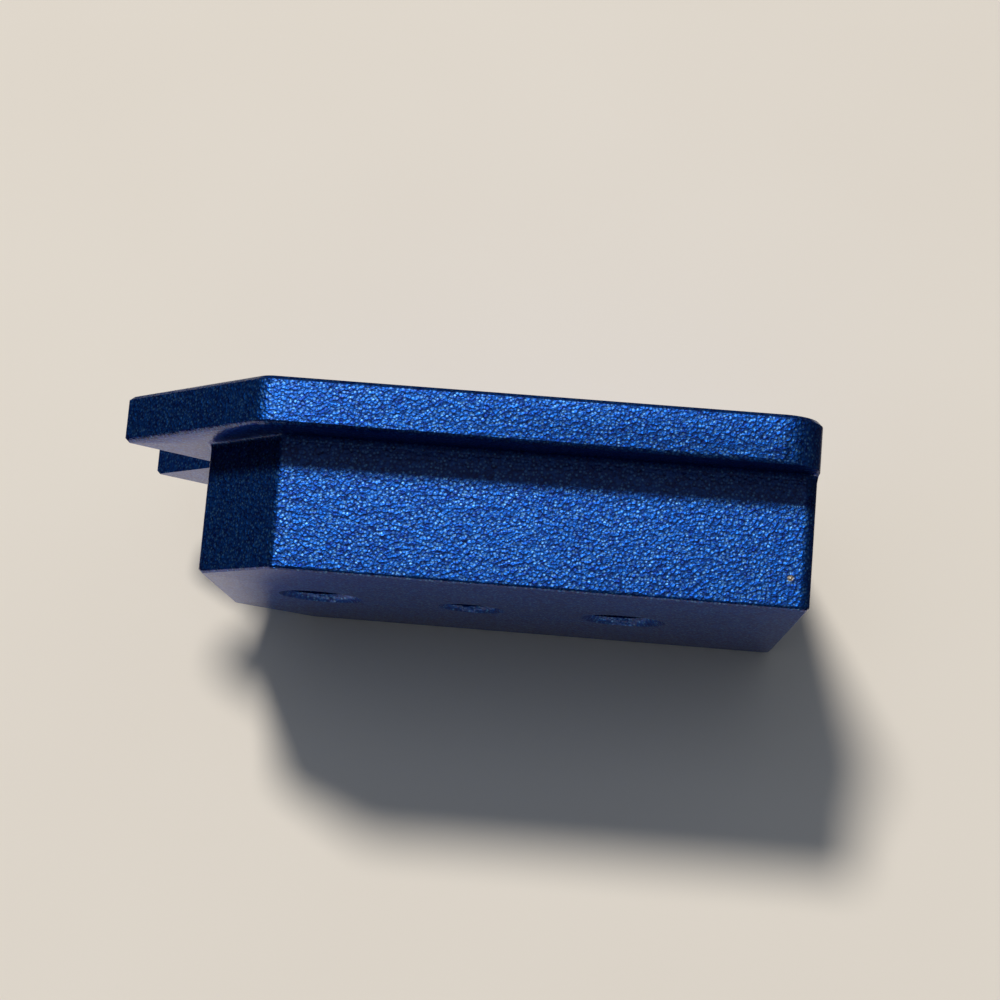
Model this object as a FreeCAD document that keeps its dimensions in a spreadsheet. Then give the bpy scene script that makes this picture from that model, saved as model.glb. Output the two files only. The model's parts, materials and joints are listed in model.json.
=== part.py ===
"""Machined aluminium part: a swallow-tailed plate with a tapped block under it, cut from one billet.

It is drawn as it is machined. X runs from the notch towards the square end, Y across the part with
0 on its centre line, and Z up with 0 on the plate's underside, so that the block hangs below it.
The finished body is then laid on its back long side, where the plate and the block both touch down.
"""
import FreeCAD, Part
import math
import os
import Sketcher

SIZES = {
    # The plate, and the two 45 degree tails that leave a right-angled notch between them.
    "plate_length": 43.8,
    "plate_width": 32.0,
    "plate_thickness": 3.0,
    "tail_cut": 10.1,
    "notch_root_radius": 0.8,
    "shoulder_radius": 1.5,
    "square_end_radius": 2.5,
    # The block under it, set in from both long edges and from the tails.
    "overhang": 3.1,
    "block_height": 8.3,
    "block_cut": 5.1,
    "block_radius": 0.6,
    "block_end_radius": 0.8,
    "cove_radius": 0.4,
    # Edge breaks, and how far the blank and the cutters run past the finished outline.
    "edge_break": 0.25,
    "run_out": 3.0,
    # Blind holes on the centre line, at tapping size: the two outer ones and the finer middle one.
    "first_hole": 7.0,
    "hole_pitch": 10.0,
    "outer_drill": 4.2,
    "outer_mouth": 5.6,
    "outer_depth": 8.0,
    "middle_drill": 3.3,
    "middle_mouth": 4.4,
    "middle_depth": 7.0,
    "drill_point_angle": 118.0,
}

doc = FreeCAD.newDocument("MachinedPart")
sheet = doc.addObject("Spreadsheet::Sheet", "Dims")
for row, (alias, value) in enumerate(SIZES.items(), start=1):
    sheet.set(f"A{row}", alias)
    sheet.set(f"B{row}", str(value))
    sheet.setAlias(f"B{row}", alias)
doc.recompute()

# Lengths that follow from the driving ones. The tails end in points, and the block starts in line
# with the corner of the notch.
NOTCH_DEPTH = "(Dims.plate_width / 2 - Dims.tail_cut)"
BLOCK_WIDTH = "(Dims.plate_width - 2 * Dims.overhang)"
BLOCK_LENGTH = f"(Dims.plate_length - {NOTCH_DEPTH})"
LEAN = "atan(Dims.overhang / Dims.block_height)"

half_plate = SIZES["plate_width"] / 2
half_block = half_plate - SIZES["overhang"]
notch_depth = half_plate - SIZES["tail_cut"]
block_length = SIZES["plate_length"] - notch_depth
shoulder_x = SIZES["tail_cut"] - notch_depth

body = doc.addObject("PartDesign::Body", "machined_block")
body.Label = "machined_block"


def near(a, b):
    return abs(a - b) < 0.001


def new_sketch(name):
    """A sketch on the plane of the plate's underside."""
    sketch = body.newObject("Sketcher::SketchObject", name)
    base_plane = next(o for o in body.Origin.OriginFeatures if o.Role == "XY_Plane")
    sketch.AttachmentSupport = [(base_plane, "")]
    sketch.MapMode = "FlatFace"
    return sketch


def constrain(sketch, kind, *references):
    return sketch.addConstraint(Sketcher.Constraint(kind, *references))


def dimension(sketch, kind, references, start_value, expression):
    """A dimension held by an expression. Its start value only sets its sense."""
    index = constrain(sketch, kind, *references, start_value)
    sketch.setExpression(f"Constraints[{index}]", expression)


def add_outline(sketch, corners):
    """Lines round the corners, joined end to end. Line i starts at corner i."""
    points = [FreeCAD.Vector(x, y, 0) for x, y in corners]
    for start, end in zip(points, points[1:] + points[:1]):
        sketch.addGeometry(Part.LineSegment(start, end), False)
    for i in range(len(points)):
        constrain(sketch, "Coincident", i, 2, (i + 1) % len(points), 1)


def hold_tapered_outline(sketch, width, cut, end_x):
    """Sizes a six-cornered outline that is mirrored about X and has both left corners cut at 45 degrees.

    Its lines are the front edge, the square end, the back edge, a cut, the left end and a cut.
    """
    constrain(sketch, "Horizontal", 0)
    constrain(sketch, "Symmetric", 0, 1, 2, 2, -1)
    constrain(sketch, "Symmetric", 1, 1, 1, 2, -1)
    constrain(sketch, "Symmetric", 4, 1, 4, 2, -1)
    dimension(sketch, "DistanceY", (1, 1, 1, 2), 20.0, width)
    dimension(sketch, "DistanceX", (5, 1, 5, 2), 5.0, cut)
    dimension(sketch, "DistanceY", (5, 2, 5, 1), 5.0, cut)
    dimension(sketch, "DistanceX", (-1, 1, 0, 2), 40.0, end_x)


def pad(name, sketch, length, down=False):
    feature = body.newObject("PartDesign::Pad", name)
    feature.Profile = sketch
    feature.Reversed = down
    feature.setExpression("Length", length)
    doc.recompute()


def cut_through(name, sketch):
    """Pockets the sketch right through, above and below its plane."""
    before = body.Tip.Shape.Volume
    feature = body.newObject("PartDesign::Pocket", name)
    feature.Profile = sketch
    feature.Midplane = True
    feature.setExpression("Length", "2 * (Dims.plate_thickness + Dims.block_height)")
    doc.recompute()
    if feature.Shape.Volume >= before:
        raise RuntimeError(f"{name} cut nothing")


def edges_where(test, upright=False):
    """Names of the present solid's edges whose end points all pass the test."""
    names = []
    for i, edge in enumerate(body.Tip.Shape.Edges, start=1):
        runs_up = abs(edge.tangentAt(edge.FirstParameter).z) > 0.999
        if (runs_up or not upright) and all(test(v.Point) for v in edge.Vertexes):
            names.append(f"Edge{i}")
    return names


def dress(kind, name, edge_names, amount):
    """A PartDesign Fillet or Chamfer on edges of the present solid."""
    base = body.Tip
    feature = body.newObject(f"PartDesign::{kind}", name)
    feature.Base = (base, edge_names)
    feature.setExpression("Radius" if kind == "Fillet" else "Size", amount)
    doc.recompute()


# Plate blank: both tails cut, still whole where the notch will be, and long past the square end.
blank = new_sketch("PlateBlank")
add_outline(blank, [(4, -16), (40, -16), (40, 16), (4, 16), (-6, 6), (-6, -6)])
hold_tapered_outline(blank, "Dims.plate_width", "Dims.tail_cut", f"{BLOCK_LENGTH} + Dims.run_out")
dimension(blank, "DistanceX", (5, 1, -1, 1), 6.0, NOTCH_DEPTH)
pad("Plate", blank, "Dims.plate_thickness")

# Block: narrower, with its left corners cut too, and its left end on the Y axis.
foot = new_sketch("BlockOutline")
add_outline(foot, [(5, -13), (38, -13), (38, 13), (5, 13), (0, 8), (0, -8)])
hold_tapered_outline(foot, BLOCK_WIDTH, "Dims.block_cut", BLOCK_LENGTH)
constrain(foot, "PointOnObject", 5, 1, -2)
pad("Block", foot, "Dims.block_height", down=True)


# Upright corners of the block, then the cove that the cutter leaves all round it under the plate.
def on_block_end(p):
    return near(p.x, block_length) and p.z < 0.001


def on_block_cut(p):
    return p.z < 0.001 and (near(p.x, 0) or near(p.x, SIZES["block_cut"]))


def at_block_root(p):
    return near(p.z, 0) and abs(p.y) < half_block + 0.001 and -0.001 < p.x < block_length + 0.001


dress("Fillet", "BlockEndRadius", edges_where(on_block_end, upright=True), "Dims.block_end_radius")
dress("Fillet", "BlockRadius", edges_where(on_block_cut, upright=True), "Dims.block_radius")
dress("Fillet", "Cove", edges_where(at_block_root), "Dims.cove_radius")


# Shoulders where the tails begin, and the break along the plate's lower edge, tip to square end.
def on_shoulder(p):
    return near(abs(p.y), half_plate) and near(p.x, shoulder_x)


def on_lower_edge(p):
    past_tips = abs(p.y) > notch_depth - 0.001 and p.x < shoulder_x + 0.001
    return near(p.z, 0) and (near(abs(p.y), half_plate) or past_tips)


dress("Fillet", "ShoulderRadius", edges_where(on_shoulder, upright=True), "Dims.shoulder_radius")
dress("Chamfer", "LowerEdgeBreak", edges_where(on_lower_edge), "Dims.edge_break")

# Square end: the blank's spare length and the cove on it are faced off flush with the block.
facing = new_sketch("SquareEnd")
add_outline(facing, [(38, -19), (44, -19), (44, 19), (38, 19)])
constrain(facing, "Horizontal", 0)
constrain(facing, "Symmetric", 0, 1, 2, 2, -1)
constrain(facing, "Symmetric", 1, 1, 1, 2, -1)
dimension(facing, "DistanceX", (-1, 1, 0, 1), 38.0, BLOCK_LENGTH)
dimension(facing, "DistanceX", (0, 1, 0, 2), 6.0, "2 * Dims.run_out")
dimension(facing, "DistanceY", (1, 1, 1, 2), 38.0, "Dims.plate_width + 2 * Dims.run_out")
cut_through("FaceOff", facing)

# Notch: its flanks meet the cut tails in points and each other in the root radius, at the origin.
notch = new_sketch("TailNotch")
root_circle = Part.Circle(FreeCAD.Vector(-1.2, 0, 0), FreeCAD.Vector(0, 0, 1), 0.85)
notch.addGeometry(Part.LineSegment(FreeCAD.Vector(-0.6, 0.6, 0), FreeCAD.Vector(-9, 9, 0)), False)
notch.addGeometry(Part.LineSegment(FreeCAD.Vector(-9, 9, 0), FreeCAD.Vector(-9, -9, 0)), False)
notch.addGeometry(Part.LineSegment(FreeCAD.Vector(-9, -9, 0), FreeCAD.Vector(-0.6, -0.6, 0)), False)
notch.addGeometry(Part.ArcOfCircle(root_circle, -math.pi / 4, math.pi / 4), False)
constrain(notch, "Coincident", 0, 2, 1, 1)
constrain(notch, "Coincident", 1, 2, 2, 1)
constrain(notch, "Tangent", 2, 2, 3, 1)
constrain(notch, "Tangent", 3, 2, 0, 1)
constrain(notch, "Symmetric", 0, 2, 2, 1, -1)
constrain(notch, "PointOnObject", 3, 3, -1)
constrain(notch, "PointOnObject", -1, 1, 0)
dimension(notch, "DistanceX", (0, 2, -1, 1), 9.0, f"{NOTCH_DEPTH} + Dims.run_out")
dimension(notch, "DistanceY", (-1, 1, 0, 2), 9.0, f"{NOTCH_DEPTH} + Dims.run_out")
dimension(notch, "Radius", (3,), 0.8, "Dims.notch_root_radius")
cut_through("Notch", notch)


# Round corners of the plate at the square end, and the breaks round its top and the block's foot.
def on_square_corner(p):
    return near(p.x, block_length) and abs(p.y) > half_plate - 1.5 * SIZES["edge_break"]


def on_top(p):
    return near(p.z, SIZES["plate_thickness"])


def on_foot(p):
    return near(p.z, -SIZES["block_height"])


dress("Fillet", "SquareEndRadius", edges_where(on_square_corner, upright=True), "Dims.square_end_radius")
dress("Chamfer", "TopEdgeBreak", edges_where(on_top), "Dims.edge_break")
dress("Chamfer", "FootEdgeBreak", edges_where(on_foot), "Dims.edge_break")


def drill(name, places, diameter, mouth, depth):
    """Blind holes up from the foot, each with a chamfered mouth and a drill point."""
    centres = new_sketch(f"{name}Centres")
    centres.setExpression("AttachmentOffset.Base.z", "-Dims.block_height")
    for i, place in enumerate(places):
        circle = Part.Circle(FreeCAD.Vector(7 + 10 * i, 0, 0), FreeCAD.Vector(0, 0, 1), 2)
        centres.addGeometry(circle, False)
        constrain(centres, "PointOnObject", i, 3, -1)
        dimension(centres, "DistanceX", (-1, 1, i, 3), 7.0, place)
        dimension(centres, "Radius", (i,), 2.0, f"{diameter} / 2")
    before = body.Tip.Shape.Volume
    hole = body.newObject("PartDesign::Hole", name)
    hole.Profile = centres
    doc.recompute()
    hole.Threaded = False
    hole.Reversed = True
    hole.DepthType = "Dimension"
    hole.DrillPoint = "Angled"
    hole.HoleCutType = "Countersink"
    hole.HoleCutCountersinkAngle = 90
    hole.setExpression("Diameter", diameter)
    hole.setExpression("Depth", depth)
    hole.setExpression("HoleCutDiameter", mouth)
    hole.setExpression("DrillPointAngle", "Dims.drill_point_angle * 1 deg")
    doc.recompute()
    if hole.Shape.Volume >= before:
        raise RuntimeError(f"{name} cut nothing")


outer_places = ["Dims.first_hole", "Dims.first_hole + 2 * Dims.hole_pitch"]
middle_place = ["Dims.first_hole + Dims.hole_pitch"]
drill("OuterHoles", outer_places, "Dims.outer_drill", "Dims.outer_mouth", "Dims.outer_depth")
drill("MiddleHole", middle_place, "Dims.middle_drill", "Dims.middle_mouth", "Dims.middle_depth")

# Laid on its back long side: the plate's lower back edge and the block's back foot edge both touch
# the ground, so the part leans by the angle of the line that joins them. The origin is the middle
# of its footprint.
body.Placement.Rotation = FreeCAD.Rotation(FreeCAD.Vector(1, 0, 0), -70)
rise = f"Dims.block_height * cos({LEAN}) - Dims.plate_thickness * cos({LEAN})"
body.setExpression("Placement.Rotation.Angle", f"{LEAN} - 90 deg")
body.setExpression("Placement.Base.x", f"{NOTCH_DEPTH} - Dims.plate_length / 2")
body.setExpression("Placement.Base.y", f"({rise} - Dims.overhang * sin({LEAN})) / 2")
body.setExpression(
    "Placement.Base.z", f"Dims.plate_width / 2 * cos({LEAN}) - Dims.edge_break * sin({LEAN})"
)
doc.recompute()

failed = [o.Name for o in doc.Objects if "Invalid" in o.State or "Error" in o.State]
if failed:
    raise RuntimeError(f"features failed: {failed}")
if body.Shape.isNull() or not body.Shape.isValid() or len(body.Shape.Solids) != 1:
    raise RuntimeError("the body is not one valid solid")

os.makedirs("parts", exist_ok=True)
body.Shape.exportStep(f"parts/{body.Label}.step")
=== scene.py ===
import json
import math

import bmesh
import bpy
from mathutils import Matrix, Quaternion, Vector


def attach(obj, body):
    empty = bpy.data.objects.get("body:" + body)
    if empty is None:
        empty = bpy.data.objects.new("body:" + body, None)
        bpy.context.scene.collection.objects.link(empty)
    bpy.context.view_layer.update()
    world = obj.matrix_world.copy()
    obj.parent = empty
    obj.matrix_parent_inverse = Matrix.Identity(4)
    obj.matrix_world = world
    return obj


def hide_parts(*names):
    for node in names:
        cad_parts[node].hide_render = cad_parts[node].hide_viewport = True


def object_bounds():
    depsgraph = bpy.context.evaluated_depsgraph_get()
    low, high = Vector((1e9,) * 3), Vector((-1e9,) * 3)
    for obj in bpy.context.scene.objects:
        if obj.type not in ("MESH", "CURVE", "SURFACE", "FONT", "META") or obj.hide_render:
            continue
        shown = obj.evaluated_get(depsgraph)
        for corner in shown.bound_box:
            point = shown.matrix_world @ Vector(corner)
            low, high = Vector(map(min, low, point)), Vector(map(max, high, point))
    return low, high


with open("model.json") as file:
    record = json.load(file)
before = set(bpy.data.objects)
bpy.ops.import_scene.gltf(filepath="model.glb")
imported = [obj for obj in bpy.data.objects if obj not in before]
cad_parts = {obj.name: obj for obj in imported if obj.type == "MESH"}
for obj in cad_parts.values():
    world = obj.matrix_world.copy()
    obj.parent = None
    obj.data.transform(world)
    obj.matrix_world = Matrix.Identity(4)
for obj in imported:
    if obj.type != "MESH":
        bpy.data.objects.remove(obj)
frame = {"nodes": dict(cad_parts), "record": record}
cad_low, cad_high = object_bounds()


# Machined block: one piece of aluminium, with the plate, the block and the drilled holes already in
# the solid. The taps have cut a thread into each blind hole, so the solid is copied and a coil of
# the thread's own section is taken out of each wall.
mounts = {mount["name"]: mount for mount in frame["record"]["mounts"]}
foot = Vector(mounts["foot_face"]["pos_m"])
merge_gap = 1e-6

solid = bmesh.new()
solid.from_mesh(frame["nodes"]["machined_block"].data)
bmesh.ops.remove_doubles(solid, verts=solid.verts, dist=merge_gap)
block_mesh = bpy.data.meshes.new("machined_block_tapped")
solid.to_mesh(block_mesh)
solid.free()
block = bpy.data.objects.new("tapped_block", block_mesh)
bpy.context.collection.objects.link(block)

# Coarse thread for each tapping drill, from the drill's radius in mm to the pitch in metres.
pitch_of = {2.1: 0.0008, 1.65: 0.0007}
flank = math.radians(30)
steps_per_turn = 36


def thread_coil(name, mount):
    """The metal that a tap takes out: a 60 degree tooth wound round the hole.

    It starts a pitch outside the mouth and stops about a turn and a half short of the drilled
    depth. The tooth begins a little inside the drilled wall, so that the cut leaves no skin there.
    """
    wall = mount["dims"]["r_mm"] / 1000
    pitch = pitch_of[mount["dims"]["r_mm"]]
    out = Vector(mount["axis"])
    side = Vector((1, 0, 0))
    mouth = Vector(mount["pos_m"])
    mouth += out * (foot - mouth).dot(out)
    start = mouth + out * pitch
    extra_turns = 0.4
    turns = mount["dims"]["length_mm"] / 1000 / pitch + extra_turns
    overlap, depth = 0.08 * pitch, 0.5 * pitch
    inner, outer = wall - overlap, wall + depth
    half_flat = pitch / 16
    half_base = (outer - inner) * math.tan(flank) + half_flat
    corners = [(inner, -half_base), (outer, -half_flat), (outer, half_flat), (inner, half_base)]

    coil = bmesh.new()
    section = [coil.verts.new(start + side * radius + out * rise) for radius, rise in corners]
    edges = [coil.edges.new(pair) for pair in zip(section, section[1:] + section[:1])]
    bmesh.ops.spin(
        coil,
        geom=section + edges,
        cent=mouth,
        axis=out,
        dvec=-out * pitch / steps_per_turn,
        angle=math.tau * turns,
        steps=round(turns * steps_per_turn),
    )
    ends = [edge for edge in coil.edges if edge.is_boundary]
    bmesh.ops.holes_fill(coil, edges=ends, sides=len(corners))
    bmesh.ops.recalc_face_normals(coil, faces=coil.faces)
    mesh = bpy.data.meshes.new(name)
    coil.to_mesh(mesh)
    coil.free()
    cutter = bpy.data.objects.new(name, mesh)
    bpy.context.collection.objects.link(cutter)
    return cutter


holes = [mount for mount in mounts.values() if mount["kind"] == "threaded_hole"]
cutters = [thread_coil(f"tap_{hole['name']}", hole) for hole in holes]
for cutter in cutters:
    cut = block.modifiers.new(cutter.name, "BOOLEAN")
    cut.operation = "DIFFERENCE"
    cut.solver = "EXACT"
    cut.object = cutter
cut_block = block.evaluated_get(bpy.context.evaluated_depsgraph_get())
tapped = bpy.data.meshes.new_from_object(cut_block)
block.modifiers.clear()
block.data = tapped
for cutter in cutters:
    bpy.data.objects.remove(cutter)

# Fillets shade round, and a turn of more than 22 degrees stays a crisp edge. The weighting keeps
# each milled flat truly flat beside a fillet.
crease = math.radians(22)
tapped.polygons.foreach_set("use_smooth", [True] * len(tapped.polygons))
tapped.set_sharp_from_angle(angle=crease)
flats = block.modifiers.new("true_flats", "WEIGHTED_NORMAL")
flats.mode = "FACE_AREA_WITH_ANGLE"
flats.weight = 100
flats.keep_sharp = True
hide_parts("machined_block")
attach(block, "root")


# The block's skin: bead-blasted aluminium under a thin clear oxide, dyed blue and sealed. Blasting
# leaves shallow overlapping dimples, which break the light into sparkle where a lamp strikes the
# metal and leave it deep navy elsewhere. One knock has gone through to bare metal, and two more
# specks are drawn in the same pale grey.
def linear(code):
    """Linear colour of an sRGB hex code."""
    channels = [int(code[i : i + 2], 16) / 255 for i in (1, 3, 5)]
    return [c / 12.92 if c <= 0.04045 else ((c + 0.055) / 1.055) ** 2.4 for c in channels] + [1.0]


def add_node(material, kind, inputs=None, **settings):
    """Adds a node. Its settings come first, and an input is either a value or an output to link."""
    node = material.node_tree.nodes.new(kind)
    for key, value in settings.items():
        setattr(node, key, value)
    for key, value in (inputs or {}).items():
        if isinstance(value, bpy.types.NodeSocket):
            material.node_tree.links.new(value, node.inputs[key])
        else:
            node.inputs[key].default_value = value
    return node


# The dimples are drawn a fifth of a millimetre wide, as coarse as they need to be to show, and the
# uneven ground between them nearly as coarse. The dye drifts over about 6 mm. The shares weigh that
# ground and drift against the dimples, and the sealed relief against the metal's.
dimple_width = 0.00020
grain_width = 0.00018
drift_width = 0.006
dimple_depth = 0.00004
grain_share = 1.1
drift_share = 0.4
sealed_share = 0.35

skin = bpy.data.materials.new("bead_blasted_blue_anodising")
skin.use_nodes = True
shader = skin.node_tree.nodes["Principled BSDF"]
place = add_node(skin, "ShaderNodeTexCoord").outputs["Object"]
beads = add_node(skin, "ShaderNodeTexVoronoi", {"Vector": place, "Scale": 1 / dimple_width})
grain = add_node(
    skin, "ShaderNodeTexNoise", {"Vector": place, "Scale": 1 / grain_width, "Detail": 1.0}
)
drift = add_node(skin, "ShaderNodeTexNoise", {"Vector": place, "Scale": 1 / drift_width})
bowls = add_node(
    skin,
    "ShaderNodeMath",
    {0: beads.outputs["Distance"], 1: beads.outputs["Distance"]},
    operation="MULTIPLY",
)
relief = add_node(
    skin,
    "ShaderNodeMath",
    {0: grain.outputs["Fac"], 1: grain_share, 2: bowls.outputs[0]},
    operation="MULTIPLY_ADD",
)

# The metal has the whole relief. The sealed oxide over it has rounded most of it off.
blasted, sealed = [
    add_node(
        skin,
        "ShaderNodeBump",
        {"Height": relief.outputs[0], "Distance": dimple_depth, "Strength": share},
    )
    for share in (1.0, sealed_share)
]

# Dye: each dimple has taken it a little differently.
dimple_tone = add_node(skin, "ShaderNodeSeparateColor", {"Color": beads.outputs["Color"]})
mottle = add_node(
    skin,
    "ShaderNodeMath",
    {0: drift.outputs["Fac"], 1: drift_share, 2: dimple_tone.outputs["Red"]},
    operation="MULTIPLY_ADD",
)
dye = add_node(skin, "ShaderNodeValToRGB", {"Fac": mottle.outputs[0]})
dark_dye, pale_dye = dye.color_ramp.elements
dark_dye.position = 0.2
dark_dye.color = linear("#063088")
pale_dye.color = linear("#145CBC")

# Painted glints: pale flecks in the middle of the dimples, some stronger than others, lighten the
# metal's colour so that its sparkle shows whiter. Rim and middle are distances from the dimple's
# centre, in dimple widths.
dimple_rim, dimple_middle = 0.5, 0.12
hollow = add_node(
    skin,
    "ShaderNodeMapRange",
    {"Value": beads.outputs["Distance"], "From Min": dimple_rim, "From Max": dimple_middle},
)
painted_glint_spots = add_node(
    skin,
    "ShaderNodeMath",
    {0: hollow.outputs["Result"], 1: dimple_tone.outputs["Green"]},
    operation="MULTIPLY",
)
# Mixes the painted glint flecks, in pale blue, into the dye.
dye_with_painted_glints = add_node(
    skin,
    "ShaderNodeMix",
    {0: painted_glint_spots.outputs[0], 6: dye.outputs["Color"], 7: linear("#6FB4F2")},
    data_type="RGBA",
)

# Pale grey specks, each as a place and a reach: a knock to bare metal on the block by its foot, and
# two more specks in the same grey, on the plate's corner above that and by the foot at the notched
# end. The grain makes their edges ragged, and they fade out from core to rim, which are in reaches.
pale_specks = [
    ((0.0206, -0.00854, 0.02473), 0.00022),
    ((0.0215, -0.00042, 0.02939), 0.00016),
    ((-0.01597, -0.00814, 0.01940), 0.00010),
]
speck_core, speck_rim = 1.3, 1.6
speck_mask = None
for spot, reach in pale_specks:
    away = add_node(skin, "ShaderNodeVectorMath", {0: place, 1: spot}, operation="DISTANCE")
    ragged = add_node(
        skin,
        "ShaderNodeMath",
        {0: grain.outputs["Fac"], 1: reach, 2: away.outputs["Value"]},
        operation="MULTIPLY_ADD",
    )
    hit = add_node(
        skin,
        "ShaderNodeMapRange",
        {"Value": ragged.outputs[0], "From Min": speck_rim * reach, "From Max": speck_core * reach},
    ).outputs["Result"]
    if speck_mask:
        either = add_node(skin, "ShaderNodeMath", {0: speck_mask, 1: hit}, operation="MAXIMUM")
        hit = either.outputs[0]
    speck_mask = hit
colour = add_node(
    skin,
    "ShaderNodeMix",
    {0: speck_mask, 6: dye_with_painted_glints.outputs[2], 7: linear("#98938A")},
    data_type="RGBA",
)

skin.node_tree.links.new(colour.outputs[2], shader.inputs["Base Color"])
skin.node_tree.links.new(blasted.outputs["Normal"], shader.inputs["Normal"])
skin.node_tree.links.new(sealed.outputs["Normal"], shader.inputs["Coat Normal"])
shader.inputs["Metallic"].default_value = 1.0
shader.inputs["Roughness"].default_value = 0.5
shader.inputs["Specular Tint"].default_value = linear("#3A5CA6")
shader.inputs["Coat Weight"].default_value = 0.8
shader.inputs["Coat Roughness"].default_value = 0.22
block.data.materials.clear()
block.data.materials.append(skin)


# Floor: a wide matt card in warm pale grey, which takes soft shadows and shows no highlight. It is
# faintly cloudy, a few centimetres across.
floor_reach = 6.0
clouds_per_metre = 30.0
sheet = bpy.data.materials.new("warm_grey_card")
sheet.use_nodes = True
card = sheet.node_tree.nodes["Principled BSDF"]
floor_place = add_node(sheet, "ShaderNodeTexCoord").outputs["Object"]
clouds = add_node(sheet, "ShaderNodeTexNoise", {"Vector": floor_place, "Scale": clouds_per_metre})
shade = add_node(sheet, "ShaderNodeValToRGB", {"Fac": clouds.outputs["Fac"]})
shade.color_ramp.elements[0].color = linear("#D5CFC4")
shade.color_ramp.elements[1].color = linear("#DAD5CB")
sheet.node_tree.links.new(shade.outputs["Color"], card.inputs["Base Color"])
card.inputs["Roughness"].default_value = 0.9
card.inputs["Specular IOR Level"].default_value = 0.2

ground = bmesh.new()
bmesh.ops.create_grid(ground, x_segments=1, y_segments=1, size=floor_reach)
floor_mesh = bpy.data.meshes.new("floor")
ground.to_mesh(floor_mesh)
ground.free()
floor = bpy.data.objects.new("floor", floor_mesh)
floor.location.z = cad_low.z
floor.data.materials.append(sheet)
bpy.context.collection.objects.link(floor)


# Flags: dark grey felt cards on edge round the part, seen only in its reflections. They are hidden
# from the camera and throw no shadow or bounced light. The metal mirrors them in place of the
# bright floor, and so keeps its depth of colour. The one at the back is low, to clear the plate.
flag_reach = 0.036
flag_stand_off = 0.036
full_top, low_top = 0.072, 0.03
flags = {
    "flag_right": (0, full_top),
    "flag_back": (90, low_top),
    "flag_left": (180, full_top),
    "flag_front": (270, full_top),
}
grey_felt = bpy.data.materials.new("grey_felt")
grey_felt.use_nodes = True
felt = grey_felt.node_tree.nodes["Principled BSDF"]
felt.inputs["Base Color"].default_value = linear("#30343E")
felt.inputs["Roughness"].default_value = 1.0

upright = Quaternion((0, 1, 0), math.radians(90)).to_matrix()
for name, (turn, top) in flags.items():
    cloth = bmesh.new()
    bmesh.ops.create_grid(cloth, x_segments=1, y_segments=1, size=flag_reach)
    bmesh.ops.rotate(cloth, cent=(0, 0, 0), matrix=upright, verts=cloth.verts)
    bmesh.ops.translate(cloth, vec=(flag_stand_off, 0, top - flag_reach), verts=cloth.verts)
    round_part = Quaternion((0, 0, 1), math.radians(turn)).to_matrix()
    bmesh.ops.rotate(cloth, cent=(0, 0, 0), matrix=round_part, verts=cloth.verts)
    flag_mesh = bpy.data.meshes.new(name)
    cloth.to_mesh(flag_mesh)
    cloth.free()
    flag_mesh.materials.append(grey_felt)
    flag = bpy.data.objects.new(name, flag_mesh)
    flag.visible_camera = False
    flag.visible_diffuse = False
    flag.visible_shadow = False
    bpy.context.collection.objects.link(flag)


# Light: a high soft lamp from behind and to the left, which clears the plate's overhang and throws
# its shadow down the block, a broad panel overhead that fills the shadows and is kept out of the
# metal's reflections, and a dim room.
middle = (cad_low + cad_high) / 2


def lamp(name, way, distance, size, energy, colour):
    """A round soft lamp that stands off from the part along a direction and faces it."""
    light = bpy.data.lights.new(name, "AREA")
    light.shape = "DISK"
    light.size = size
    light.energy = energy
    light.color = linear(colour)[:3]
    stand = bpy.data.objects.new(name, light)
    stand.location = middle + Vector(way).normalized() * distance
    stand.rotation_mode = "QUATERNION"
    stand.rotation_quaternion = Vector(way).to_track_quat("Z", "Y")
    bpy.context.collection.objects.link(stand)
    return stand


lamp("key", (-0.2262, 0.29, 0.93), distance=2.0, size=0.4, energy=38.0, colour="#FFF9F2")
panel = lamp("panel", (-0.14, -0.21, 0.97), distance=1.5, size=1.0, energy=2.6, colour="#DCE8FF")
panel.visible_glossy = False

room = bpy.data.worlds.new("room")
room.use_nodes = True
walls = room.node_tree.nodes["Background"]
walls.inputs["Color"].default_value = linear("#DCE6F6")
walls.inputs["Strength"].default_value = 0.16
bpy.context.scene.world = room


# Camera: a short telephoto that looks down on the part from in front, with the holes just in view.
# It leans over by under a degree, as one held by hand does.
eye = Vector((0.007963, -0.073504, 0.144737))
aim = Vector((0.002147, 0.002575, 0.012))
roll = Quaternion((0, 0, 1), math.radians(0.677))
lens = bpy.data.cameras.new("camera")
lens.sensor_width = 36.0
lens.lens = 81.3
lens.clip_start = 0.005
lens.clip_end = 50.0
camera = bpy.data.objects.new("camera", lens)
camera.location = eye
camera.rotation_mode = "QUATERNION"
camera.rotation_quaternion = (aim - eye).to_track_quat("-Z", "Y") @ roll
bpy.context.collection.objects.link(camera)
bpy.context.scene.camera = camera
bpy.context.scene.view_settings.view_transform = "Standard"
